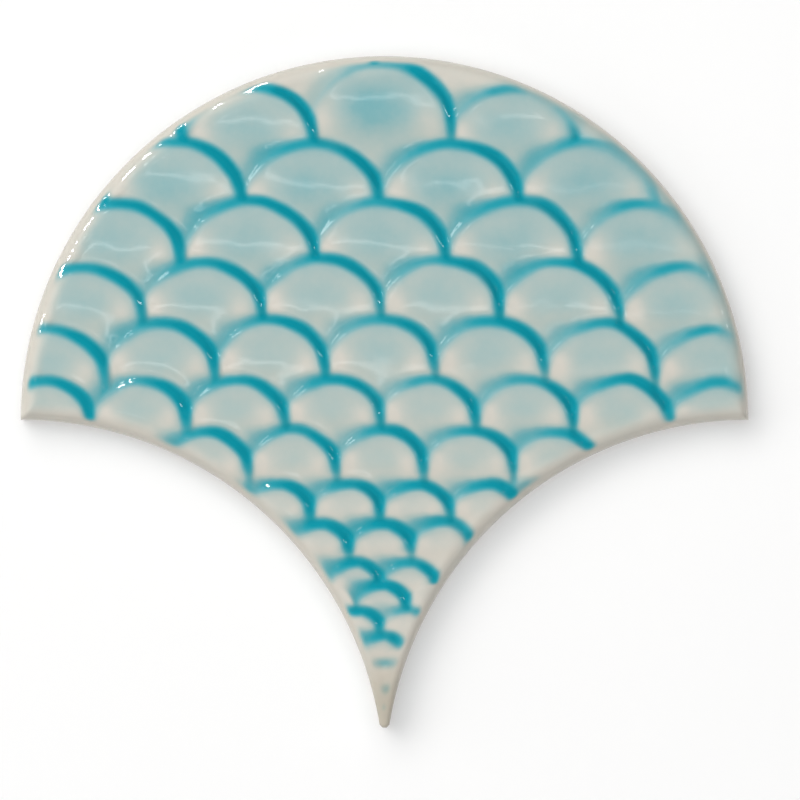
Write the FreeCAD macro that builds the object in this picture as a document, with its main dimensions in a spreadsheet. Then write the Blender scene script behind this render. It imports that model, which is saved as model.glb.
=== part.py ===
import FreeCAD, Part
import math
import os

import Sketcher
from FreeCAD import Placement, Rotation, Vector

NODE = "fish_scale_tile"

# Sizes in millimetres and degrees.
SIZES = {
    # Outline. The flanks take the round heads of the tiles below, so they share the head's radius.
    "head_radius": 70.0,
    "tip_radius": 1.0,
    # Heights above the back face: the highest edge of every scale, the plain rim, and the ground between the scales.
    "crest_height": 9.5,
    "rim_height": 9.0,
    "ground_height": 7.4,
    # The rim keeps the grooves from running out through the edge, and slopes down to the ground.
    "rim_width": 1.4,
    "rim_slope": 45.0,
    # The blank is a little taller than the crests, so that they don't just touch its top.
    "blank_spare": 0.2,
    # The top edge is rounded over, less towards the narrow tip.
    "edge_round": 2.0,
    "tip_round": 0.8,
    # Scales. Each is a disc whose top slants up towards the head and a little to one side.
    # It is a little wider than its pitch, so each laps over the next one to its right, and sits a little to the left.
    "scale_lap": 1.05,
    "scale_aside": 0.75,
    "scale_drop": 1.0,
    "lean_aside": 22.0,
    "disc_root": 1.0,
    # A scale is left out where it reaches less than this inside the outline.
    "sliver_limit": 1.0,
    # The middle scale of the second row stands higher and wider than its neighbours.
    "crown_rise": 4.4,
    "crown_width": 27.0,
    # Rows of scales from the head to the tip: the row's top below the head's top, and the width of one scale.
    # Some rows sag, and their tops are lower by this much as far out as the head's radius.
    # The first row lies mostly beyond the outline and shows only between the scales in front of it.
    "row_0_top": -5.6,
    "row_0_width": 26.0,
    "row_1_top": 5.9,
    "row_1_width": 24.8,
    "row_2_top": 16.6,
    "row_2_sag": -1.3,
    "row_2_width": 26.3,
    "row_3_top": 27.6,
    "row_3_sag": 1.2,
    "row_3_width": 25.1,
    "row_4_top": 38.9,
    "row_4_sag": 2.2,
    "row_4_width": 22.7,
    "row_5_top": 50.4,
    "row_5_sag": 2.6,
    "row_5_width": 20.9,
    "row_6_top": 61.9,
    "row_6_sag": 0.6,
    "row_6_width": 18.3,
    "row_7_top": 71.7,
    "row_7_sag": 2.0,
    "row_7_width": 16.7,
    "row_8_top": 82.1,
    "row_8_width": 13.2,
    "row_9_top": 89.6,
    "row_9_width": 11.7,
    "row_10_top": 97.1,
    "row_10_width": 10.5,
    "row_11_top": 101.4,
    "row_11_width": 10.0,
    "row_12_top": 106.4,
    "row_12_width": 9.0,
    "row_13_top": 111.2,
    "row_13_width": 7.7,
    "row_14_top": 116.6,
    "row_14_width": 5.8,
    "row_15_top": 121.0,
    "row_15_width": 4.4,
}
ROW_COUNT = 16
CROWN_ROW = 1

os.makedirs("parts", exist_ok=True)
doc = FreeCAD.newDocument("tile")

sheet = doc.addObject("Spreadsheet::Sheet", "Sizes")
for line, (name, value) in enumerate(SIZES.items(), start=1):
    sheet.set(f"A{line}", name)
    sheet.set(f"B{line}", str(value))
    sheet.setAlias(f"B{line}", name)
doc.recompute()


def size(name):
    return float(sheet.get(name))


def origin_plane(body, role):
    for feature in body.Origin.OriginFeatures:
        if feature.Role == role:
            return feature
    raise ValueError(role)


def arc(centre, radius, start, end):
    return Part.ArcOfCircle(Part.Circle(Vector(*centre, 0), Vector(0, 0, 1), radius), start, end)


def fan_sketch(body, name, inset_name=None):
    """Round head, two hollow flanks and a small round tip; set in from the outline, its tip is sharp."""
    sketch = body.newObject("Sketcher::SketchObject", name)
    sketch.AttachmentSupport = [(origin_plane(body, "XY_Plane"), "")]
    sketch.MapMode = "FlatFace"
    radius = size("head_radius")
    inset = size(inset_name) if inset_name else 0.0
    tip = 0.0 if inset_name else size("tip_radius")
    head = radius - inset
    flank = radius + inset
    # The head meets a flank on the circle about both centres, and the flanks meet on the middle line.
    apart = math.sqrt(2.0) * radius
    along = (head**2 - flank**2 + apart**2) / (2.0 * apart)
    aside = math.sqrt(head**2 - along**2)
    corner_x = (along + aside) / math.sqrt(2.0)
    corner_y = (aside - along) / math.sqrt(2.0)
    head_end = math.atan2(corner_y, corner_x)
    flank_end = math.atan2(corner_y + radius, corner_x - radius)
    rise = math.sqrt((flank + tip) ** 2 - radius**2)
    dip = math.atan2(rise, radius)
    sketch.addGeometry(arc((0, 0), head, head_end, math.pi - head_end))
    sketch.addGeometry(arc((-radius, -radius), flank, dip, math.pi - flank_end))
    sketch.addGeometry(arc((radius, -radius), flank, flank_end, math.pi - dip))
    rules = [
        Sketcher.Constraint("Coincident", 0, 3, -1, 1),
        Sketcher.Constraint("Coincident", 0, 2, 1, 2),
        Sketcher.Constraint("Coincident", 0, 1, 2, 1),
        Sketcher.Constraint("DistanceX", 1, 3, -1, 1, radius),
        Sketcher.Constraint("DistanceY", 1, 3, -1, 1, radius),
        Sketcher.Constraint("DistanceX", -1, 1, 2, 3, radius),
        Sketcher.Constraint("DistanceY", 2, 3, -1, 1, radius),
        Sketcher.Constraint("Radius", 0, head),
        Sketcher.Constraint("Radius", 1, flank),
        Sketcher.Constraint("Radius", 2, flank),
    ]
    if inset_name:
        rules.append(Sketcher.Constraint("Coincident", 1, 1, 2, 2))
    else:
        sketch.addGeometry(arc((0, rise - radius), tip, math.pi + dip, 2.0 * math.pi - dip))
        rules.append(Sketcher.Constraint("Tangent", 1, 1, 3, 1))
        rules.append(Sketcher.Constraint("Tangent", 2, 2, 3, 2))
        rules.append(Sketcher.Constraint("Radius", 3, tip))
    sketch.addConstraint(rules)
    for number in (3, 4, 5, 6):
        sketch.setExpression(f"Constraints[{number}]", "Sizes.head_radius")
    less = f" - Sizes.{inset_name}" if inset_name else ""
    more = f" + Sizes.{inset_name}" if inset_name else ""
    sketch.setExpression("Constraints[7]", "Sizes.head_radius" + less)
    sketch.setExpression("Constraints[8]", "Sizes.head_radius" + more)
    sketch.setExpression("Constraints[9]", "Sizes.head_radius" + more)
    if not inset_name:
        sketch.setExpression("Constraints[12]", "Sizes.tip_radius")
    return sketch


# The blank: the outline, a little taller than the crests.
blank = doc.addObject("PartDesign::Body", "Blank")
outline = fan_sketch(blank, "Outline")
pad = blank.newObject("PartDesign::Pad", "Thickness")
pad.Profile = outline
pad.setExpression("Length", "Sizes.crest_height + Sizes.blank_spare")
blank.Tip = pad
doc.recompute()


def top_edge_rounds(shape):
    """Each top edge with its radius at both ends: full at the side corners, small at the tip."""
    full = size("edge_round")
    small = size("tip_round")
    rounds = []
    for number, edge in enumerate(shape.Edges, start=1):
        if edge.BoundBox.ZMin < size("crest_height"):
            continue
        ends = [edge.valueAt(edge.FirstParameter), edge.valueAt(edge.LastParameter)]
        if edge.Orientation == "Reversed":
            ends.reverse()
        at_corner = [abs(end.y) < 0.01 for end in ends]
        rounds.append((number, full if at_corner[0] else small, full if at_corner[1] else small))
    return rounds


rounded = doc.addObject("Part::Fillet", "RoundedBlank")
rounded.Base = blank
rounded.Edges = top_edge_rounds(blank.Shape)
doc.recompute()


def depth_inside(x, y):
    """Distance from a point to the outline, positive inside it."""
    radius = size("head_radius")
    to_head = radius - math.hypot(x, y)
    to_flank = math.hypot(abs(x) - radius, y + radius) - radius
    return min(to_head, to_flank)


largest = max(size(f"row_{row}_width") for row in range(ROW_COUNT)) * size("scale_lap") / 2.0
scales = []


def add_scale(row, column, offset, top_name, width_name, rise_name=None):
    """One upright disc whose top is planed on the slant, highest at the crest height."""
    radius = size(width_name) * size("scale_lap") / 2.0
    drop = size("scale_drop") * math.sqrt(radius / largest)
    top = size("head_radius") - size(top_name) + (size(rise_name) if rise_name else 0.0)
    if f"row_{row}_sag" in SIZES:
        top -= size(f"row_{row}_sag") * (offset / size("head_radius")) ** 2
    middle = top - radius
    offset = offset - size("scale_aside")
    if depth_inside(offset, middle) + radius < size("sliver_limit"):
        return
    name = f"Scale_{row}_{column}" if column >= 0 else f"Scale_{row}_left_{-column}"
    disc = doc.addObject("Part::Cylinder", name + "_disc")
    disc.setExpression("Radius", f"Sizes.{width_name} * Sizes.scale_lap / 2")
    disc.setExpression("Height", "Sizes.crest_height")
    disc.Placement.Base = Vector(offset, middle, size("ground_height") - size("disc_root"))
    # The plane turns about a level line square to the way the scale leans.
    aside = math.radians(size("lean_aside"))
    hinge = Vector(math.cos(aside), -math.sin(aside), 0)
    turn = Rotation(hinge, math.degrees(math.atan2(drop, radius)))
    centre = Vector(offset, middle, size("crest_height") - drop)
    plane = doc.addObject("Part::Box", name + "_plane")
    plane.setExpression("Length", f"2 * Sizes.{width_name}")
    plane.setExpression("Width", f"2 * Sizes.{width_name}")
    plane.setExpression("Height", "2 * Sizes.crest_height")
    corner = Vector(-size(width_name), -size(width_name), 0)
    plane.Placement = Placement(centre + turn.multVec(corner), turn)
    scale = doc.addObject("Part::Cut", name)
    scale.Base = disc
    scale.Tool = plane
    scales.append(scale)


def fill_rows():
    for row in range(ROW_COUNT):
        top_name = f"row_{row}_top"
        width_name = f"row_{row}_width"
        width = size(width_name)
        first = 0.0 if row % 2 == CROWN_ROW else width / 2.0
        half_count = int(size("head_radius") / width) + 1
        for step in range(half_count):
            offset = first + step * width
            if row == CROWN_ROW and step == 0:
                add_scale(row, step, 0.0, top_name, "crown_width", "crown_rise")
                continue
            add_scale(row, step, offset, top_name, width_name)
            if offset > 0.0:
                add_scale(row, -step - 1, -offset, top_name, width_name)


fill_rows()
doc.recompute()

# The slab under the scales: a block with a bed sunk into it, its walls sloping up to the rim.
slab = doc.addObject("PartDesign::Body", "Slab")
block_outline = slab.newObject("Sketcher::SketchObject", "BlockOutline")
block_outline.AttachmentSupport = [(origin_plane(slab, "XY_Plane"), "")]
block_outline.MapMode = "FlatFace"
block_outline.addGeometry(Part.Circle(Vector(0, 0, 0), Vector(0, 0, 1), 2.0 * size("head_radius")))
block_outline.addConstraint([
    Sketcher.Constraint("Coincident", 0, 3, -1, 1),
    Sketcher.Constraint("Radius", 0, 2.0 * size("head_radius")),
])
block_outline.setExpression("Constraints[1]", "2 * Sizes.head_radius")
block = slab.newObject("PartDesign::Pad", "Block")
block.Profile = block_outline
block.setExpression("Length", "Sizes.rim_height")
bed_outline = fan_sketch(slab, "BedOutline", "rim_width")
bed_outline.setExpression("AttachmentOffset.Base.z", "Sizes.rim_height")
bed = slab.newObject("PartDesign::Pocket", "Bed")
bed.Profile = bed_outline
bed.setExpression("Length", "Sizes.rim_height - Sizes.ground_height")
bed.setExpression("TaperAngle", "Sizes.rim_slope - 90")
slab.Tip = bed
doc.recompute()
if slab.Shape.Volume >= block.Shape.Volume:
    raise RuntimeError("the bed was not cut")

relief = doc.addObject("Part::MultiFuse", "Relief")
relief.Shapes = [slab] + scales
tile = doc.addObject("Part::MultiCommon", "Tile")
tile.Shapes = [rounded, relief]
tile.Label = NODE
doc.recompute()

for item in doc.Objects:
    if "Invalid" in item.State or "Error" in item.State:
        raise RuntimeError(f"{item.Label}: {item.State}")
if tile.Shape.isNull() or not tile.Shape.isValid() or len(tile.Shape.Solids) != 1:
    raise RuntimeError(f"tile: {len(tile.Shape.Solids)} solids, valid {tile.Shape.isValid()}")

tile.Shape.exportStep(os.path.join("parts", f"{NODE}.step"))
box = tile.Shape.optimalBoundingBox()
print(NODE, len(scales), "scales", round(box.XLength, 2), round(box.YLength, 2), round(box.ZLength, 2))
print("volume", round(tile.Shape.Volume), "blank", round(blank.Shape.Volume))
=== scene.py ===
import math

import bmesh
import bpy
import numpy as np
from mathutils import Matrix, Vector
from mathutils.bvhtree import BVHTree


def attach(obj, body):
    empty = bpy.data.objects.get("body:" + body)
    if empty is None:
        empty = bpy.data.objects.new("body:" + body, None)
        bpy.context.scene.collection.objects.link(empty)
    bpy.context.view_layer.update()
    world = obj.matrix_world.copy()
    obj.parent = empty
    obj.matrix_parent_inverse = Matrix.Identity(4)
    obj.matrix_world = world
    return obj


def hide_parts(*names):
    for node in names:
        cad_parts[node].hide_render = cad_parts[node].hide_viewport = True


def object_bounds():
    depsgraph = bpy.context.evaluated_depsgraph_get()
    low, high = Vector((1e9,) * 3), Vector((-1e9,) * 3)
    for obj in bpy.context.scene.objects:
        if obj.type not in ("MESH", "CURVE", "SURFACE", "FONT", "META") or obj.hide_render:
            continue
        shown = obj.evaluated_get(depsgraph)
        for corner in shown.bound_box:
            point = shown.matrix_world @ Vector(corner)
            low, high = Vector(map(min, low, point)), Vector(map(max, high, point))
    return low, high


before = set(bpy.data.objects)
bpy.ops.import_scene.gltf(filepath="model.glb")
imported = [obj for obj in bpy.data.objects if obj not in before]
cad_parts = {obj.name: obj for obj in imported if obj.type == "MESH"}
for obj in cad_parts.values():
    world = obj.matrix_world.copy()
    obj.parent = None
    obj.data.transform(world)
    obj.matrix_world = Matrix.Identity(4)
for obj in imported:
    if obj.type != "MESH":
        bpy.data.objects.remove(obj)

CAD_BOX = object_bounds()
MM = 0.001
CAD_TOP = CAD_BOX[1][2] / MM
NODE = "fish_scale_tile"

# Outline, in millimetres: a round head, two hollow flanks of the same radius and a blunt tip.
HEAD_RADIUS = 70.0
TIP_RADIUS = 1.0
TIP_CENTRE = math.sqrt((HEAD_RADIUS + TIP_RADIUS) ** 2 - HEAD_RADIUS**2) - HEAD_RADIUS

# Weave of the face, which stops short of the outline, and the rings that carry it out to the edge.
WEAVE_PITCH = 0.355
WEAVE_INSET = 0.6
WEAVE_MARGIN = 2.0
EDGE_RINGS = (0.42, 0.27, 0.15, 0.06, 0.015, 0.0)
# How often the weave's rim and the weave beside it are evened out.
RIM_PASSES = 12
WEAVE_PASSES = 6
# A point moves onto a ring in a few steps, along the slope that a short probe finds.
RING_STEPS = 4
RING_PROBE = 0.01
RING_LEAST_SLOPE = 0.3

# The rounded edge and the solid's plain rim both narrow towards the tip, over this length.
NARROWS_OVER = 35.0
EDGE_ROUND = 3.4
TIP_ROUND = 0.9
RIM_AT_TIP = 0.8
RIM_WIDENS = 2.3
# Rings of the wall below the rounded edge, with their level and depth of glaze, and the bevel round the back.
WALL_RINGS = ((4.4, 0.6), (3.3, 0.8), (2.4, 1.1), (1.5, 1.5), (0.4, 1.6))
BACK_BEVEL = 0.4

# Lattice on which the carved heights are read.
LATTICE_PITCH = 0.25
LATTICE_LOW = (-72.0, -62.0)
LATTICE_HIGH = (72.0, 72.0)
# The heights are found by rays from above the solid, whose corners are merged first, both in metres.
RAY_START = 0.05
MERGE_WITHIN = 1e-6
# Empty lattice points round a blurred field, the least share of it that is carried on, and the last cell.
BLUR_MARGIN = 160
LEAST_SHARE = 1e-4
LAST_CELL_END = 1.001

# Rows of scales from the head to the tip, as on the solid: the row's top, its pitch and its sag.
ROWS = (
    (75.6, 26.0, 0.0),
    (64.1, 24.8, 0.0),
    (53.4, 26.3, -1.3),
    (42.4, 25.1, 1.2),
    (31.1, 22.7, 2.2),
    (19.6, 20.9, 2.6),
    (8.1, 18.3, 0.6),
    (-1.7, 16.7, 2.0),
    (-12.1, 13.2, 0.0),
    (-19.6, 11.7, 0.0),
    (-27.1, 10.5, 0.0),
    (-31.4, 10.0, 0.0),
    (-36.4, 9.0, 0.0),
    (-41.2, 7.7, 0.0),
    (-46.6, 5.8, 0.0),
    (-51.0, 4.4, 0.0),
)
CROWN_ROW = 1
CROWN_TOP = 68.5
CROWN_PITCH = 27.0
SCALE_LAP = 1.05
SCALE_ASIDE = 0.75
LAP_SOFT = 0.8
# Towards the tip the pools draw one row with a single scale, one scale faintly, and only the top of the last
# row. In the cropped rows they leave out a scale whose top is not clear of the outline.
LONE_ROW = 11
FAINT_SCALE = (12, 0)
FAINT_SHARE = 0.4
LAST_ROW = 13
LAST_ROW_TURNS = (10.0, 55.0)
CROPPED_ROWS = (7, 9, 10, 11, 12, 13)
CROPPED_CLEAR = 1.0

# Softening of the pressed clay, more of it on the rolled edge, and shape of the pressed faces and grooves.
CLAY_SOFT = 0.5
RIM_SOFT = 1.3
ROLLED_EDGE = (1.6, 4.0)
EDGE_SOFT = 3.0
GROOVE_SOFT = 0.95
GROOVE_CUT = 0.3
DISH_SOFT = 2.5
DISH_RISE = 0.5
# Unevenness of the clay, the glaze, the pools and the head's rim, each with its seed, softness and rise.
WOBBLE = (11, 6.0, 0.04)
RIPPLE = (5, 1.2, 0.007)
POOL_RIPPLE = (7, 0.45, 0.008)
POOL_RIPPLE_DEPTHS = (0.3, 1.5)
RIM_RIPPLE = (3, 1.1, 0.05)
RIM_RIPPLE_INSET = (2.0, 4.0)
RIM_RIPPLE_LEVEL = (-10.0, 10.0)
# Each face is a shallow hollow, this deep on a scale of the widest radius, and longer than it is high.
HOLLOW_DEPTH = 0.34
HOLLOW_LENGTH = 0.8
HOLLOW_HEIGHT = 0.38
HOLLOW_MIDDLE = 0.42
WIDEST_RADIUS = 14.2

# Depth of the glaze in colour steps. It pooled along each scale's arc, most on the right, least on the left.
# Round the arc, from its right end to its left: the turn in degrees, how deep the pool is, how far out it
# lies, and its width on the inner and the outer side.
POOL_ROUND_ARC = (
    (-60.0, 0.0, 0.0, 0.6, 0.6),
    (-20.0, 0.4, -0.3, 0.6, 0.6),
    (0.0, 1.6, -0.35, 0.6, 0.5),
    (15.0, 4.2, -0.25, 0.65, 0.55),
    (30.0, 7.0, 0.15, 0.66, 0.68),
    (60.0, 6.2, 0.05, 0.64, 0.6),
    (75.0, 4.5, -0.05, 0.6, 0.6),
    (90.0, 3.4, -0.2, 0.6, 0.6),
    (105.0, 2.9, -0.2, 0.65, 0.72),
    (120.0, 1.9, -0.05, 0.8, 1.1),
    (135.0, 1.4, 0.35, 1.0, 1.7),
    (150.0, 1.1, 0.3, 0.8, 1.5),
    (172.0, 0.9, 0.0, 0.6, 1.0),
    (200.0, 0.3, 0.0, 0.6, 0.8),
    (240.0, 0.0, 0.0, 0.6, 0.8),
)
POOL_TURNS, POOL_DEPTHS, POOL_PLACES, POOL_INNER, POOL_OUTER = zip(*POOL_ROUND_ARC)
LOWEST_TURN = -90.0
FULL_TURN = 360.0
POOL_REACH = 5.0
POOL_CUT = 0.05
# On a small scale the pool is narrower, and fuller over the top. On the crown it is thin over the top.
NARROWEST_POOL = 0.7
POOL_WIDENS_OVER = 20.0
SMALL_FULLER = 0.6
SMALL_RADII = (4.0, 9.0)
SMALL_TOP_TURNS = (70.0, 95.0)
CROWN_THINNER = 0.55
CROWN_TOP_TURNS = (58.0, 76.0)
# A thin wash spreads from a deep pool over the edge of the face.
WASH_DEPTH = 0.5
WASH_WIDTH = 1.4
WASH_FROM_POOL = (1.0, 3.2)
# Below the last pooled row, three small smears: their middle, half their width and height, and their depth.
TIP_SMEARS = ((0.1, -46.6, 1.5, 0.6, 1.4), (0.4, -51.6, 0.7, 0.6, 0.6), (-0.4, -55.2, 0.4, 0.4, 0.9))
# The pools run out before the outline, nearest to it on the left. On the right of the head they spread into
# a haze there, and the glaze of the faces stays deep further out over the rim.
RIGHT_OF_HEAD = (8.0, 40.0)
RIGHT_LEVEL = (0.0, 9.0)
POOL_END_LEFT = (0.9, 2.1)
POOL_END_RIGHT = (1.6, 7.0)
FACE_END_LEFT = (1.2, 4.2)
FACE_END_RIGHT = (0.3, 2.4)
RIM_HAZE = 0.28
RIM_HAZE_SOFT = 1.5
RIM_HAZE_OUTER = (0.2, 1.2)
RIM_HAZE_INNER = (3.0, 9.0)
# The glaze ran a little outwards from the middle. It also wanders and is fuller here and there, each with its
# seed, softness and rise.
POOL_SPREAD = 0.011
POOL_WANDER = (17, 2.5, 0.18)
POOL_FULLNESS = (19, 2.5, 0.16)
# Glaze on a face, by the scale's radius: its depth in the middle and its depth round that.
FACE_GLAZE = (
    (2.3, 0.40, 0.40),
    (4.5, 0.44, 0.41),
    (6.5, 0.52, 0.45),
    (8.5, 0.74, 0.56),
    (10.5, 0.94, 0.67),
    (12.5, 1.12, 0.74),
    (13.8, 1.32, 0.80),
    (14.2, 1.70, 0.76),
)
FACE_RADII, FACE_MIDDLES, FACE_MARGINS = zip(*FACE_GLAZE)
# It is deepest a little above the middle, and thin towards the two lower corners and low on the scale.
# Each spot has its middle, spread and stretch sideways in parts of the radius.
DEEP_SPOT = (-0.06, 0.38, 0.27, 1.4)
LEFT_SPOT = (-0.77, 0.29, 0.19, 1.0)
RIGHT_SPOT = (0.64, 0.26, 0.17, 1.0)
LEFT_THINNER = 0.58
RIGHT_THINNER = 0.36
LOW_THINNER = 0.12
LOW_ON_SCALE = (0.0, 0.4)
RIM_GLAZE = 0.42
THINNEST = 0.38
THICKEST = 6.0
# Clay showing through the glaze: along the face's edge, down the wall and at the tip. The same tint also
# marks painted shade low on each scale, and partly painted shade on the rounded tip.
SHADE_LOW_ON_SCALE = 0.2
CLAY_AND_SHADE_AT_TIP = 1.0
CLAY_AND_SHADE_TIP_LEVEL = (-55.0, -40.0)
CLAY_AT_EDGE = 0.45
CLAY_EDGE_INSET = (0.0, 2.2)
CLAY_ON_WALL = 0.3

# Glaze colour from thin, where the clay shows through, to deep pools.
GLAZE_RAMP = (
    (0.38, (0.672, 0.640, 0.575)),
    (0.70, (0.491, 0.560, 0.525)),
    (0.95, (0.400, 0.528, 0.516)),
    (1.50, (0.227, 0.455, 0.480)),
    (2.00, (0.141, 0.415, 0.460)),
    (2.75, (0.068, 0.374, 0.440)),
    (3.70, (0.025, 0.345, 0.420)),
    (5.50, (0.002, 0.305, 0.395)),
)
GLAZE_IOR = 1.5
# Tint of clay through thin glaze, also used to paint shade.
CLAY_AND_SHADE_TINT = (0.78, 0.74, 0.68, 1.0)
# The line on the wall where the glaze stops, in millimetres, and the bare clay below it.
GLAZE_LINE = 2.0
GLAZE_LINE_SOFT = 0.1
GLAZE_LINE_WAVER = 1.2
BARE_CLAY = (0.58, 0.47, 0.37, 1.0)
BARE_CLAY_DARK = (0.44, 0.33, 0.24, 1.0)
GRIT_DARK_TO = 0.3
GRIT_PALE_FROM = 0.62
GRIT_HEIGHT = 0.0002

# Floor: half its side in metres, its paint, and the share of plain white that is seen over it.
FLOOR_HALF = 3.0
FLOOR_PAINT = (0.95, 0.95, 0.95, 1.0)
FLOOR_ROUGHNESS = 0.9
FLOOR_WHITENESS = 0.3

# Lamps: name, place and size in metres, and radiance. A panel has two sizes and a disc has one.
WHITE = (1.0, 1.0, 1.0, 1.0)
WORLD_STRENGTH = 0.08
PLAIN = (1.0, 1.0, 1.0)
WARM = (1.0, 0.98, 0.95)
TILE_MIDDLE = (0.0, 0.0, 0.0)
# Large soft lamps light the tile and stay out of its reflections.
SOFT_LAMPS = (
    ("overhead", (-0.3, 0.3, 1.8), (2.4, 2.4), 1.6, PLAIN),
    ("key_soft", (-1.0, 1.0, 1.6), (1.4,), 2.9, WARM),
    ("left_panel", (-1.9, 0.2, 1.0), (1.6, 1.2), 1.3, PLAIN),
    ("back_panel", (-0.3, 1.7, 1.3), (1.6, 1.2), 0.8, PLAIN),
    ("right_panel", (1.9, -0.5, 1.0), (1.6, 1.2), 0.75, PLAIN),
    ("front_panel", (-0.2, -1.9, 1.0), (1.6, 1.2), 1.0, PLAIN),
)
# Narrow upright tubes glint on the rim of the head, each at its azimuth in degrees.
TUBE_AZIMUTHS = (112.0, 126.0, 140.0, 154.0)
TUBE_AWAY = 1.77
TUBE_HEIGHT = 1.05
TUBE_SIZE = (0.08, 0.45)
TUBE_RADIANCE = 60.0
# Small discs glint on the arcs, and strips that face straight down draw a line across the hollow faces.
GLINT_LAMPS = (
    ("left_glint", (-0.66, 0.36, 1.6), (0.16,), 6.0),
    ("right_glint", (1.18, 0.50, 1.1), (0.12,), 14.0),
)
STRIP_LAMPS = (
    ("strip", (-0.14, -0.10, 1.5), (0.22, 0.018), 4.5),
    ("thin_strip", (0.045, -0.09, 1.5), (0.11, 0.009), 4.0),
)
FACING_DOWN = (0.0, 0.0, 0.0)

# The picture is square. Its size and the head's centre are in pixels, and one pixel is this wide on the face.
PICTURE_SIZE = 800.0
HEAD_PIXEL = (384.5, 420.0)
PIXEL = 0.19178 * MM
FACE_LEVEL = 0.009
CAMERA_HEIGHT = 1.2
SENSOR_WIDTH = 36.0


def depth_inside(x, y):
    """Distance from a point to the outline, positive inside it."""
    to_head = HEAD_RADIUS - np.hypot(x, y)
    to_flank = np.hypot(np.abs(x) - HEAD_RADIUS, y + HEAD_RADIUS) - HEAD_RADIUS
    to_tip = TIP_RADIUS - np.hypot(x, y - TIP_CENTRE)
    past_flanks = y - TIP_CENTRE < -np.abs(x) * (TIP_CENTRE + HEAD_RADIUS) / HEAD_RADIUS
    return np.where(past_flanks, to_tip, np.minimum(to_head, to_flank))


def above_tip(y):
    """Share from 0 at the tip to 1 where the edge and the rim have their full width."""
    return np.clip((y - TIP_CENTRE) / NARROWS_OVER, 0.0, 1.0)


def edge_round(y):
    """Radius of the rounded edge."""
    return TIP_ROUND + (EDGE_ROUND - TIP_ROUND) * above_tip(y)


def rim_reach(y):
    """Width of the plain rim on the solid; the face is drawn on over it to the rounded edge."""
    return RIM_AT_TIP + RIM_WIDENS * above_tip(y)


def lattice_axes():
    counts = [int(round((LATTICE_HIGH[k] - LATTICE_LOW[k]) / LATTICE_PITCH)) + 1 for k in range(2)]
    return [LATTICE_LOW[k] + LATTICE_PITCH * np.arange(counts[k]) for k in range(2)]


def carved_heights(xs, ys, mask):
    """Height of the solid's face under each lattice point of the mask, in millimetres."""
    clay = bmesh.new()
    clay.from_mesh(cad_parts[NODE].data)
    bmesh.ops.remove_doubles(clay, verts=clay.verts, dist=MERGE_WITHIN)
    tree = BVHTree.FromBMesh(clay)
    clay.free()
    down = Vector((0.0, 0.0, -1.0))
    heights = np.zeros(mask.shape)
    for row, column in zip(*np.nonzero(mask)):
        hit = tree.ray_cast(Vector((xs[column] * MM, ys[row] * MM, RAY_START)), down)[0]
        if hit:
            heights[row, column] = hit.z / MM
    return heights


def blur(field, sigma):
    """The field softened over sigma millimetres."""
    rows, columns = field.shape
    size = (rows + BLUR_MARGIN, columns + BLUR_MARGIN)
    waves = np.fft.fftfreq(size[0])[:, None] ** 2 + np.fft.rfftfreq(size[1])[None, :] ** 2
    gain = np.exp(-2.0 * (math.pi * sigma / LATTICE_PITCH) ** 2 * waves)
    return np.fft.irfft2(np.fft.rfft2(field, s=size) * gain, s=size)[:rows, :columns]


def carried_out(field, mask):
    """The field with its values near the mask's edge carried on smoothly beyond it."""
    share = blur(mask.astype(float), EDGE_SOFT)
    return np.where(mask, field, blur(field * mask, EDGE_SOFT) / np.maximum(share, LEAST_SHARE))


def even_noise(shape, seed, soft, rise):
    """Smooth random unevenness of the given rise."""
    noise = blur(np.random.default_rng(seed).standard_normal(shape), soft)
    return rise * noise / noise.std()


def ease(value, low, high):
    """Smooth step from 0 to 1."""
    share = np.clip((value - low) / (high - low), 0.0, 1.0)
    return share * share * (3.0 - 2.0 * share)


def bell(across, up=0.0):
    """Soft bump that is 1 in the middle."""
    return np.exp(-0.5 * (across**2 + up**2))


def slopes(field):
    along_y, along_x = np.gradient(field, LATTICE_PITCH)
    return along_x, along_y


def read_at(field, xs, ys, x, y):
    """The field between its lattice points."""
    across = np.clip((x - xs[0]) / LATTICE_PITCH, 0, len(xs) - LAST_CELL_END)
    up = np.clip((y - ys[0]) / LATTICE_PITCH, 0, len(ys) - LAST_CELL_END)
    column = across.astype(int)
    row = up.astype(int)
    fx = across - column
    fy = up - row
    low = field[row, column] * (1 - fx) + field[row, column + 1] * fx
    high = field[row + 1, column] * (1 - fx) + field[row + 1, column + 1] * fx
    return low * (1 - fy) + high * fy


def scale_layout():
    """Row, place, centre and radius of each scale, the ones behind first: head to tip, right to left."""
    scales = []
    for row, (top, pitch, sag) in enumerate(ROWS):
        reach = int(HEAD_RADIUS / pitch) + 2
        shift = 0.0 if row % 2 else 0.5
        for place in range(reach, -reach - 1, -1):
            crown = row == CROWN_ROW and place == 0
            offset = (place + shift) * pitch
            radius = 0.5 * SCALE_LAP * (CROWN_PITCH if crown else pitch)
            crest = CROWN_TOP if crown else top - sag * (offset / HEAD_RADIUS) ** 2
            scales.append((row, place, offset - SCALE_ASIDE, crest - radius, radius))
    return scales


def spot(across, up, middle_x, middle_y, spread, stretch):
    """A soft spot on a scale's face, round or stretched sideways, in parts of its radius."""
    return np.exp(-(((across - middle_x) / stretch) ** 2 + (up - middle_y) ** 2) / (2.0 * spread**2))


def low_on_scale(up):
    return 1.0 - ease(up, *LOW_ON_SCALE)


def face_glaze(across, up, radius):
    """Depth of glaze on a scale's face."""
    margin = np.interp(radius, FACE_RADII, FACE_MARGINS)
    middle = np.interp(radius, FACE_RADII, FACE_MIDDLES)
    depth = margin + (middle - margin) * spot(across, up, *DEEP_SPOT)
    depth = depth - LEFT_THINNER * margin * spot(across, up, *LEFT_SPOT)
    depth = depth - RIGHT_THINNER * margin * spot(across, up, *RIGHT_SPOT)
    depth = depth - LOW_THINNER * margin * low_on_scale(up)
    return np.maximum(depth, FACE_MARGINS[0])


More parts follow.
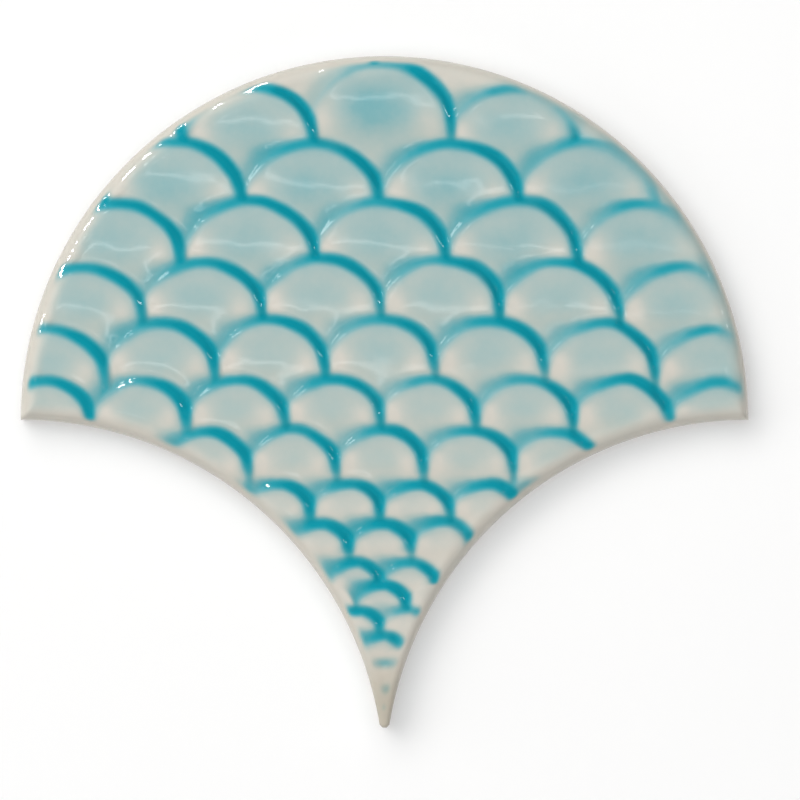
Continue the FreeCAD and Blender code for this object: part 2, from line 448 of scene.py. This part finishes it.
def face_hollow(across, up):
    return HOLLOW_DEPTH * bell(across / HOLLOW_LENGTH, (up - HOLLOW_MIDDLE) / HOLLOW_HEIGHT)


def pool_share(row, place, top_inset, radius, turn):
    """How full the pool of one scale is, round its arc."""
    if row == CROWN_ROW and place == 0:
        return 1.0 - CROWN_THINNER * ease(turn, *CROWN_TOP_TURNS)
    beside_lone = row == LONE_ROW and place != 0
    cropped = row in CROPPED_ROWS and top_inset < CROPPED_CLEAR
    if row > LAST_ROW or beside_lone or cropped:
        return 0.0
    share = 1.0 + SMALL_FULLER * (1.0 - ease(radius, *SMALL_RADII)) * ease(turn, *SMALL_TOP_TURNS)
    if row == LAST_ROW:
        share = share * ease(turn, *LAST_ROW_TURNS)
    return share * (FAINT_SHARE if (row, place) == FAINT_SCALE else 1.0)


def pool_and_wash(away, turn, radius, share, wander, fullness):
    """Pool along one scale's arc and the wash beside it, at points this far out from the arc."""
    narrow = min(1.0, NARROWEST_POOL + radius / POOL_WIDENS_OVER)
    past = away - narrow * (np.interp(turn, POOL_TURNS, POOL_PLACES) + wander)
    inner = np.interp(turn, POOL_TURNS, POOL_INNER)
    outer = np.interp(turn, POOL_TURNS, POOL_OUTER)
    width = narrow * np.where(past > 0.0, outer, inner)
    depth = np.interp(turn, POOL_TURNS, POOL_DEPTHS) * share * fullness
    wash = WASH_DEPTH * ease(depth, *WASH_FROM_POOL) * bell(past / (narrow * WASH_WIDTH))
    return depth * bell(past / width), wash


def glaze_depths(grid_x, grid_y):
    """Glaze on faces, pools along arcs, hollows and painted shade low on the faces, laid scale over scale."""
    faces = np.full(grid_x.shape, RIM_GLAZE)
    pools = np.zeros(grid_x.shape)
    hollows = np.zeros(grid_x.shape)
    low_shade = np.zeros(grid_x.shape)
    wander = even_noise(grid_x.shape, *POOL_WANDER)
    fullness = 1.0 + even_noise(grid_x.shape, *POOL_FULLNESS)
    for row, place, middle_x, middle_y, radius in scale_layout():
        middle_x = middle_x * (1.0 + POOL_SPREAD)
        reach = radius + POOL_REACH
        columns = np.flatnonzero(np.abs(grid_x[0] - middle_x) < reach)
        rows = np.flatnonzero(np.abs(grid_y[:, 0] - middle_y) < reach)
        if not len(columns) or not len(rows):
            continue
        patch = np.s_[rows[0] : rows[-1] + 1, columns[0] : columns[-1] + 1]
        across = grid_x[patch] - middle_x
        up = grid_y[patch] - middle_y
        away = np.hypot(across, up) - radius
        turn = np.degrees(np.arctan2(up, across))
        turn = np.where(turn < LOWEST_TURN, turn + FULL_TURN, turn)
        inside = np.clip(0.5 - away / LAP_SOFT, 0.0, 1.0)
        share = pool_share(row, place, depth_inside(middle_x, middle_y + radius), radius, turn)
        pool, wash = pool_and_wash(away, turn, radius, share, wander[patch], fullness[patch])
        across = across / radius
        up = up / radius
        face = wash + (RIM_GLAZE if row < CROWN_ROW else face_glaze(across, up, radius))
        hollow = face_hollow(across, up) * radius / WIDEST_RADIUS
        # The low part of each scale gets painted shade, given later through the clay tint.
        low = low_on_scale(up)
        laid = ((faces, face * inside), (pools, pool), (hollows, hollow * inside), (low_shade, low * inside))
        for field, layer in laid:
            field[patch] = field[patch] * (1.0 - inside) + layer
    for middle_x, middle_y, wide, high, deep in TIP_SMEARS:
        pools += deep * bell((grid_x - middle_x) / wide, (grid_y - middle_y) / high)
    return faces, pools, blur(hollows, CLAY_SOFT), low_shade


def ends_near_outline(inset, right, left_end, right_end):
    """Share from 0 at the outline to 1 further in, over one distance on the left and another on the right."""
    return ease(inset, *left_end) * (1.0 - right) + ease(inset, *right_end) * right


def unevenness(pools, inset, grid_y):
    """Wobble of the clay and ripple of the glaze, with more in the pools and on the rim of the head."""
    rise = even_noise(pools.shape, *WOBBLE)
    rise += even_noise(pools.shape, *RIPPLE)
    rise += even_noise(pools.shape, *POOL_RIPPLE) * ease(pools, *POOL_RIPPLE_DEPTHS)
    on_rim = (1.0 - ease(inset, *RIM_RIPPLE_INSET)) * ease(grid_y, *RIM_RIPPLE_LEVEL)
    rise += even_noise(pools.shape, *RIM_RIPPLE) * on_rim
    return rise


def glazed_relief():
    """The glazed surface, the depth of glaze and the clay tint, partly painted shade, as fields on the
    lattice.
    """
    xs, ys = lattice_axes()
    grid_x, grid_y = np.meshgrid(xs, ys)
    inset = depth_inside(grid_x, grid_y)
    mask = inset > rim_reach(grid_y)
    carved = carried_out(carved_heights(xs, ys, mask), mask)
    slope_x, slope_y = slopes(blur(carved, GROOVE_SOFT))
    steep = np.hypot(slope_x, slope_y)
    faces, pools, hollows, low_shade = glaze_depths(grid_x, grid_y)
    right = ease(grid_x, *RIGHT_OF_HEAD) * ease(grid_y, *RIGHT_LEVEL)
    haze = RIM_HAZE * blur(pools, RIM_HAZE_SOFT) * right
    haze = haze * (1.0 - ease(inset, *RIM_HAZE_INNER)) * ease(inset, *RIM_HAZE_OUTER)
    pools = pools * ends_near_outline(inset, right, POOL_END_LEFT, POOL_END_RIGHT)
    rolled = ease(inset, *ROLLED_EDGE)
    clay = blur(carved, CLAY_SOFT) * rolled + blur(carved, RIM_SOFT) * (1.0 - rolled)
    surface = clay - GROOVE_CUT * steep - POOL_CUT * pools
    surface = surface + DISH_RISE * blur(steep, DISH_SOFT) - hollows + unevenness(pools, inset, grid_y)
    face_share = ends_near_outline(inset, right, FACE_END_LEFT, FACE_END_RIGHT)
    glaze = RIM_GLAZE + (faces - RIM_GLAZE) * face_share + pools + haze
    # The tint at the tip is clay through thin glaze and partly painted shade of the rounded tip.
    at_tip = 1.0 - ease(grid_y, *CLAY_AND_SHADE_TIP_LEVEL)
    at_edge = 1.0 - ease(inset, *CLAY_EDGE_INSET)
    clay_and_shade = np.maximum(CLAY_AND_SHADE_AT_TIP * at_tip, CLAY_AT_EDGE * at_edge)
    # Painted shade low on each scale, darkened with the same clay tint.
    clay_and_shade = np.maximum(clay_and_shade, SHADE_LOW_ON_SCALE * low_shade)
    return xs, ys, surface, np.clip(glaze, THINNEST, THICKEST), clay_and_shade


def ring_corners(inset):
    """The right and left corners where the head's circle meets a flank's, both set in from the outline."""
    head = HEAD_RADIUS - inset
    flank = HEAD_RADIUS + inset
    apart = math.sqrt(2.0) * HEAD_RADIUS
    along = (head**2 - flank**2 + apart**2) / (2.0 * apart)
    aside = math.sqrt(head**2 - along**2)
    x = (along + aside) / math.sqrt(2.0)
    y = (aside - along) / math.sqrt(2.0)
    return (x, y), (-x, y)


def onto_ring(points, inset):
    """Points moved square to the outline until they lie this far inside it."""
    points = points.copy()
    reach = RING_PROBE
    for _ in range(RING_STEPS):
        x, y = points.T
        depth = depth_inside(x, y)
        slope_x = (depth_inside(x + reach, y) - depth_inside(x - reach, y)) / (2.0 * reach)
        slope_y = (depth_inside(x, y + reach) - depth_inside(x, y - reach)) / (2.0 * reach)
        steep = np.maximum(slope_x**2 + slope_y**2, RING_LEAST_SLOPE)
        points[:, 0] += (inset - depth) * slope_x / steep
        points[:, 1] += (inset - depth) * slope_y / steep
    return points


def places_of(verts):
    """Where the vertices lie, seen from above, in millimetres."""
    return np.array([vert.co[:2] for vert in verts]) / MM


def move_to(verts, places):
    for vert, place in zip(verts, places):
        vert.co.xy = place * MM


def nearest(places, point):
    """Index of the place nearest to the point."""
    return int(np.argmin(np.hypot(places[:, 0] - point[0], places[:, 1] - point[1])))


def rim_edges(sheet):
    return [edge for edge in sheet.edges if edge.is_boundary]


def rim_loop(sheet):
    """The vertices round the sheet's open edge, in order."""
    loop = list(rim_edges(sheet)[0].verts)
    while True:
        ahead = [edge.other_vert(loop[-1]) for edge in loop[-1].link_edges if edge.is_boundary]
        onward = ahead[0] if ahead[0] != loop[-2] else ahead[1]
        if onward == loop[0]:
            return loop
        loop.append(onward)


def extrude_rim(sheet):
    """The vertices of a new ring round the sheet's open edge."""
    made = bmesh.ops.extrude_edge_only(sheet, edges=rim_edges(sheet))["geom"]
    return [item for item in made if isinstance(item, bmesh.types.BMVert)]


def touches_rim(face):
    return any(edge.is_boundary for vert in face.verts for edge in vert.link_edges)


def trimmed_weave():
    """A flat square weave, cut back to the cells inside the outline."""
    sheet = bmesh.new()
    cells = 2 * int((HEAD_RADIUS + WEAVE_MARGIN) / WEAVE_PITCH) + 1
    bmesh.ops.create_grid(sheet, x_segments=cells, y_segments=cells, size=0.5 * cells * WEAVE_PITCH * MM)
    faces = list(sheet.faces)
    middles = np.array([face.calc_center_median()[:2] for face in faces]) / MM
    outside = depth_inside(middles[:, 0], middles[:, 1]) < WEAVE_INSET
    bmesh.ops.delete(sheet, geom=[faces[k] for k in np.flatnonzero(outside)], context="FACES")
    ears = [face for face in sheet.faces if sum(edge.is_boundary for edge in face.edges) > 2]
    bmesh.ops.delete(sheet, geom=ears, context="FACES")
    return sheet


def draw_to_ring(sheet):
    """Draws the weave's stepped rim to a line just inside the outline, and evens out the weave beside it."""
    loop = rim_loop(sheet)
    places = onto_ring(places_of(loop), WEAVE_INSET)
    corners = ring_corners(WEAVE_INSET)
    held = [nearest(places, corner) for corner in corners]
    for _ in range(RIM_PASSES):
        places = 0.5 * places + 0.25 * (np.roll(places, 1, axis=0) + np.roll(places, -1, axis=0))
        places = onto_ring(places, WEAVE_INSET)
        for index, corner in zip(held, corners):
            places[index] = corner
    move_to(loop, places)
    near = {vert for face in sheet.faces if touches_rim(face) for vert in face.verts}
    near = near | {edge.other_vert(vert) for vert in near for edge in vert.link_edges}
    inner = [vert for vert in near if not vert.is_boundary]
    for _ in range(WEAVE_PASSES):
        bmesh.ops.smooth_vert(sheet, verts=inner, factor=0.5, use_axis_x=True, use_axis_y=True)


def add_edge_rings(sheet):
    """Carries the weave out to the outline."""
    last = WEAVE_INSET
    for inset in EDGE_RINGS:
        verts = extrude_rim(sheet)
        start = places_of(verts)
        places = onto_ring(start, inset)
        for before, corner in zip(ring_corners(last), ring_corners(inset)):
            places[nearest(start, before)] = corner
        move_to(verts, places)
        last = inset


def flat_face():
    """The tile's face laid out flat."""
    sheet = trimmed_weave()
    draw_to_ring(sheet)
    add_edge_rings(sheet)
    bmesh.ops.recalc_face_normals(sheet, faces=sheet.faces)
    return sheet


def fall_at_edge(inset, y):
    """How far the rounded edge has fallen below the face at this distance from the outline."""
    radius = edge_round(y)
    rest = np.clip(radius - inset, 0.0, radius)
    return radius - np.sqrt(np.maximum(radius**2 - rest**2, 0.0))


def piece(name, body):
    """An object with the finished body as its mesh."""
    mesh = bpy.data.meshes.new(name)
    body.to_mesh(mesh)
    body.free()
    made = bpy.data.objects.new(name, mesh)
    bpy.context.scene.collection.objects.link(made)
    return made


def glazed_tile():
    xs, ys, surface, glaze, clay_and_shade = glazed_relief()
    body = flat_face()
    glaze_layer = body.verts.layers.float.new("glaze")
    # This layer carries the clay tint, which is partly painted shade.
    clay_and_shade_layer = body.verts.layers.float.new("clay_and_shade")
    # The face rises to the glazed surface and falls away round the edge.
    verts = list(body.verts)
    x, y = places_of(verts).T
    inset = np.maximum(depth_inside(x, y), 0.0)
    height = np.minimum(read_at(surface, xs, ys, x, y) - fall_at_edge(inset, y), CAD_TOP)
    depth = read_at(glaze, xs, ys, x, y)
    shows = read_at(clay_and_shade, xs, ys, x, y)
    for vert, z, thick, share in zip(verts, height, depth, shows):
        vert.co.z = z * MM
        vert[glaze_layer] = thick
        vert[clay_and_shade_layer] = share
    # The wall goes down to the bevel, and a flat back closes it.
    for level, thick in WALL_RINGS:
        for vert in extrude_rim(body):
            vert.co.z = level * MM
            vert[glaze_layer] = thick
            vert[clay_and_shade_layer] = CLAY_ON_WALL
    back = extrude_rim(body)
    move_to(back, onto_ring(places_of(back), BACK_BEVEL))
    for vert in back:
        vert.co.z = 0.0
    back_rim = rim_edges(body)
    for edge in back_rim:
        edge.smooth = False
    bmesh.ops.contextual_create(body, geom=back_rim)
    bmesh.ops.recalc_face_normals(body, faces=body.faces)
    for face in body.faces:
        face.smooth = True
    return piece("glazed_tile", body)


def node(tree, kind, settings=None, values=None):
    """A shader node with its settings and its unlinked inputs."""
    made = tree.nodes.new("ShaderNode" + kind)
    for name, value in (settings or {}).items():
        setattr(made, name, value)
    for name, value in (values or {}).items():
        made.inputs[name].default_value = value
    return made


def glaze_colour(tree, place):
    """Colour of the glaze by its depth, which is a little uneven from place to place."""
    link = tree.links.new
    depth = node(tree, "Attribute", {"attribute_name": "glaze"})
    drift = node(tree, "TexNoise", None, {"Scale": 180.0, "Detail": 3.0, "Roughness": 0.6})
    link(place, drift.inputs["Vector"])
    uneven = node(tree, "MapRange", None, {
        "From Min": 0.25, "From Max": 0.75, "To Min": 0.88, "To Max": 1.12,
    })
    link(drift.outputs["Fac"], uneven.inputs["Value"])
    varied = node(tree, "Math", {"operation": "MULTIPLY"})
    link(depth.outputs["Fac"], varied.inputs[0])
    link(uneven.outputs["Result"], varied.inputs[1])
    scaled = node(tree, "Math", {"operation": "DIVIDE"})
    scaled.inputs[1].default_value = THICKEST
    link(varied.outputs[0], scaled.inputs[0])
    ramp = node(tree, "ValToRGB")
    stops = ramp.color_ramp.elements
    stops[0].position = GLAZE_RAMP[0][0] / THICKEST
    stops[0].color = (*GLAZE_RAMP[0][1], 1.0)
    stops[1].position = GLAZE_RAMP[-1][0] / THICKEST
    stops[1].color = (*GLAZE_RAMP[-1][1], 1.0)
    for thick, colour in GLAZE_RAMP[1:-1]:
        stop = stops.new(thick / THICKEST)
        stop.color = (*colour, 1.0)
    link(scaled.outputs[0], ramp.inputs["Fac"])
    # Where the glaze is thin the clay shows through and tints it. The same tint is painted shade
    # low on each scale and partly at the tip.
    shows = node(tree, "Attribute", {"attribute_name": "clay_and_shade"})
    tinted = node(tree, "Mix", {"data_type": "RGBA", "blend_type": "MULTIPLY"})
    tinted.inputs["B"].default_value = CLAY_AND_SHADE_TINT
    link(shows.outputs["Fac"], tinted.inputs["Factor"])
    link(ramp.outputs["Color"], tinted.inputs["A"])
    return tinted.outputs["Result"]


def glaze_cover(tree, place):
    """1 where the glaze covers the clay, down to a wavering line on the wall, and 0 below it."""
    link = tree.links.new
    height = node(tree, "SeparateXYZ")
    link(place, height.inputs["Vector"])
    waver = node(tree, "TexNoise", None, {"Scale": 90.0, "Detail": 2.0})
    link(place, waver.inputs["Vector"])
    lift = node(tree, "Math", {"operation": "MULTIPLY_ADD"})
    lift.inputs[1].default_value = GLAZE_LINE_WAVER * MM
    link(waver.outputs["Fac"], lift.inputs[0])
    link(height.outputs["Z"], lift.inputs[2])
    cover = node(tree, "MapRange", {"interpolation_type": "SMOOTHSTEP"}, {
        "From Min": (GLAZE_LINE - GLAZE_LINE_SOFT) * MM,
        "From Max": (GLAZE_LINE + GLAZE_LINE_SOFT) * MM,
    })
    link(lift.outputs[0], cover.inputs["Value"])
    return cover.outputs["Result"]


def pooled_glaze():
    """Glossy glaze over buff clay, which is bare, dull and gritty at the foot of the wall."""
    finish = bpy.data.materials.new("pooled_glaze")
    finish.use_nodes = True
    tree = finish.node_tree
    link = tree.links.new
    shader = tree.nodes["Principled BSDF"]
    shader.inputs["IOR"].default_value = GLAZE_IOR
    place = node(tree, "TexCoord").outputs["Object"]
    glaze = glaze_colour(tree, place)
    cover = glaze_cover(tree, place)
    grit = node(tree, "TexNoise", None, {"Scale": 1400.0, "Detail": 4.0, "Roughness": 0.7})
    link(place, grit.inputs["Vector"])
    clay = node(tree, "ValToRGB")
    clay.color_ramp.elements[0].position = GRIT_DARK_TO
    clay.color_ramp.elements[0].color = BARE_CLAY_DARK
    clay.color_ramp.elements[1].position = GRIT_PALE_FROM
    clay.color_ramp.elements[1].color = BARE_CLAY
    link(grit.outputs["Fac"], clay.inputs["Fac"])
    colour = node(tree, "Mix", {"data_type": "RGBA"})
    link(cover, colour.inputs["Factor"])
    link(clay.outputs["Color"], colour.inputs["A"])
    link(glaze, colour.inputs["B"])
    link(colour.outputs["Result"], shader.inputs["Base Color"])
    gloss = node(tree, "MapRange", None, {"To Min": 0.85, "To Max": 0.07})
    link(cover, gloss.inputs["Value"])
    link(gloss.outputs["Result"], shader.inputs["Roughness"])
    rough = node(tree, "MapRange", None, {"To Min": 0.35, "To Max": 0.0})
    link(cover, rough.inputs["Value"])
    bump = node(tree, "Bump", None, {"Distance": GRIT_HEIGHT})
    link(rough.outputs["Result"], bump.inputs["Strength"])
    link(grit.outputs["Fac"], bump.inputs["Height"])
    link(bump.outputs["Normal"], shader.inputs["Normal"])
    return finish


def white_paint():
    """Paint that looks partly plain white, directly or in a reflection, which lightens the shadow on it."""
    paint = bpy.data.materials.new("white_floor")
    paint.use_nodes = True
    tree = paint.node_tree
    link = tree.links.new
    shader = tree.nodes["Principled BSDF"]
    shader.inputs["Base Color"].default_value = FLOOR_PAINT
    shader.inputs["Roughness"].default_value = FLOOR_ROUGHNESS
    shader.inputs["Specular IOR Level"].default_value = 0.0
    white = node(tree, "Emission")
    path = node(tree, "LightPath")
    seen = node(tree, "Math", {"operation": "ADD"})
    link(path.outputs["Is Camera Ray"], seen.inputs[0])
    link(path.outputs["Is Glossy Ray"], seen.inputs[1])
    share = node(tree, "Math", {"operation": "MULTIPLY"})
    share.inputs[1].default_value = FLOOR_WHITENESS
    link(seen.outputs[0], share.inputs[0])
    blend = node(tree, "MixShader")
    link(share.outputs[0], blend.inputs["Fac"])
    link(shader.outputs["BSDF"], blend.inputs[1])
    link(white.outputs["Emission"], blend.inputs[2])
    link(blend.outputs["Shader"], tree.nodes["Material Output"].inputs["Surface"])
    return paint


def pale_floor():
    sheet = bmesh.new()
    bmesh.ops.create_grid(sheet, x_segments=1, y_segments=1, size=FLOOR_HALF)
    floor = piece("floor", sheet)
    floor.data.materials.append(white_paint())


def hang_lamp(name, place, size, radiance, colour=PLAIN, shines=True):
    """A lamp of even radiance aimed at the tile. It shines back from the glaze or lights the tile softly."""
    data = bpy.data.lights.new(name, "AREA")
    data.size = size[0]
    if len(size) == 1:
        data.shape = "DISK"
        area = math.pi * size[0] ** 2 / 4.0
    else:
        data.shape = "RECTANGLE"
        data.size_y = size[1]
        area = size[0] * size[1]
    data.energy = radiance * area * math.pi
    data.color = colour
    lamp = bpy.data.objects.new(name, data)
    bpy.context.scene.collection.objects.link(lamp)
    lamp.visible_glossy = shines
    lamp.visible_diffuse = not shines
    lamp.location = Vector(place)
    lamp.rotation_euler = (Vector(TILE_MIDDLE) - Vector(place)).to_track_quat("-Z", "Y").to_euler()
    return lamp


def studio_light():
    world = bpy.data.worlds.new("studio")
    world.use_nodes = True
    bpy.context.scene.world = world
    background = world.node_tree.nodes["Background"]
    background.inputs["Color"].default_value = WHITE
    background.inputs["Strength"].default_value = WORLD_STRENGTH
    for lamp in SOFT_LAMPS:
        hang_lamp(*lamp, shines=False)
    for azimuth in TUBE_AZIMUTHS:
        turn = math.radians(azimuth)
        place = (TUBE_AWAY * math.cos(turn), TUBE_AWAY * math.sin(turn), TUBE_HEIGHT)
        hang_lamp("rim_tube", place, TUBE_SIZE, TUBE_RADIANCE, WARM)
    for lamp in GLINT_LAMPS:
        hang_lamp(*lamp)
    for lamp in STRIP_LAMPS:
        hang_lamp(*lamp).rotation_euler = FACING_DOWN


def camera_above():
    """The camera looks straight down, with the head's centre at its own pixel."""
    half = 0.5 * PICTURE_SIZE
    centre = Vector(((half - HEAD_PIXEL[0]) * PIXEL, (HEAD_PIXEL[1] - half) * PIXEL, 0.0))
    data = bpy.data.cameras.new("camera")
    data.sensor_width = SENSOR_WIDTH
    data.sensor_fit = "HORIZONTAL"
    data.lens = SENSOR_WIDTH * (CAMERA_HEIGHT - FACE_LEVEL) / (PICTURE_SIZE * PIXEL)
    camera = bpy.data.objects.new("camera", data)
    camera.location = centre + Vector((0.0, 0.0, CAMERA_HEIGHT))
    bpy.context.scene.collection.objects.link(camera)
    bpy.context.scene.camera = camera


tile = glazed_tile()
tile.data.materials.append(pooled_glaze())
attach(tile, "root")
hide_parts(NODE)
pale_floor()
bpy.context.scene.view_settings.view_transform = "Standard"
studio_light()
camera_above()
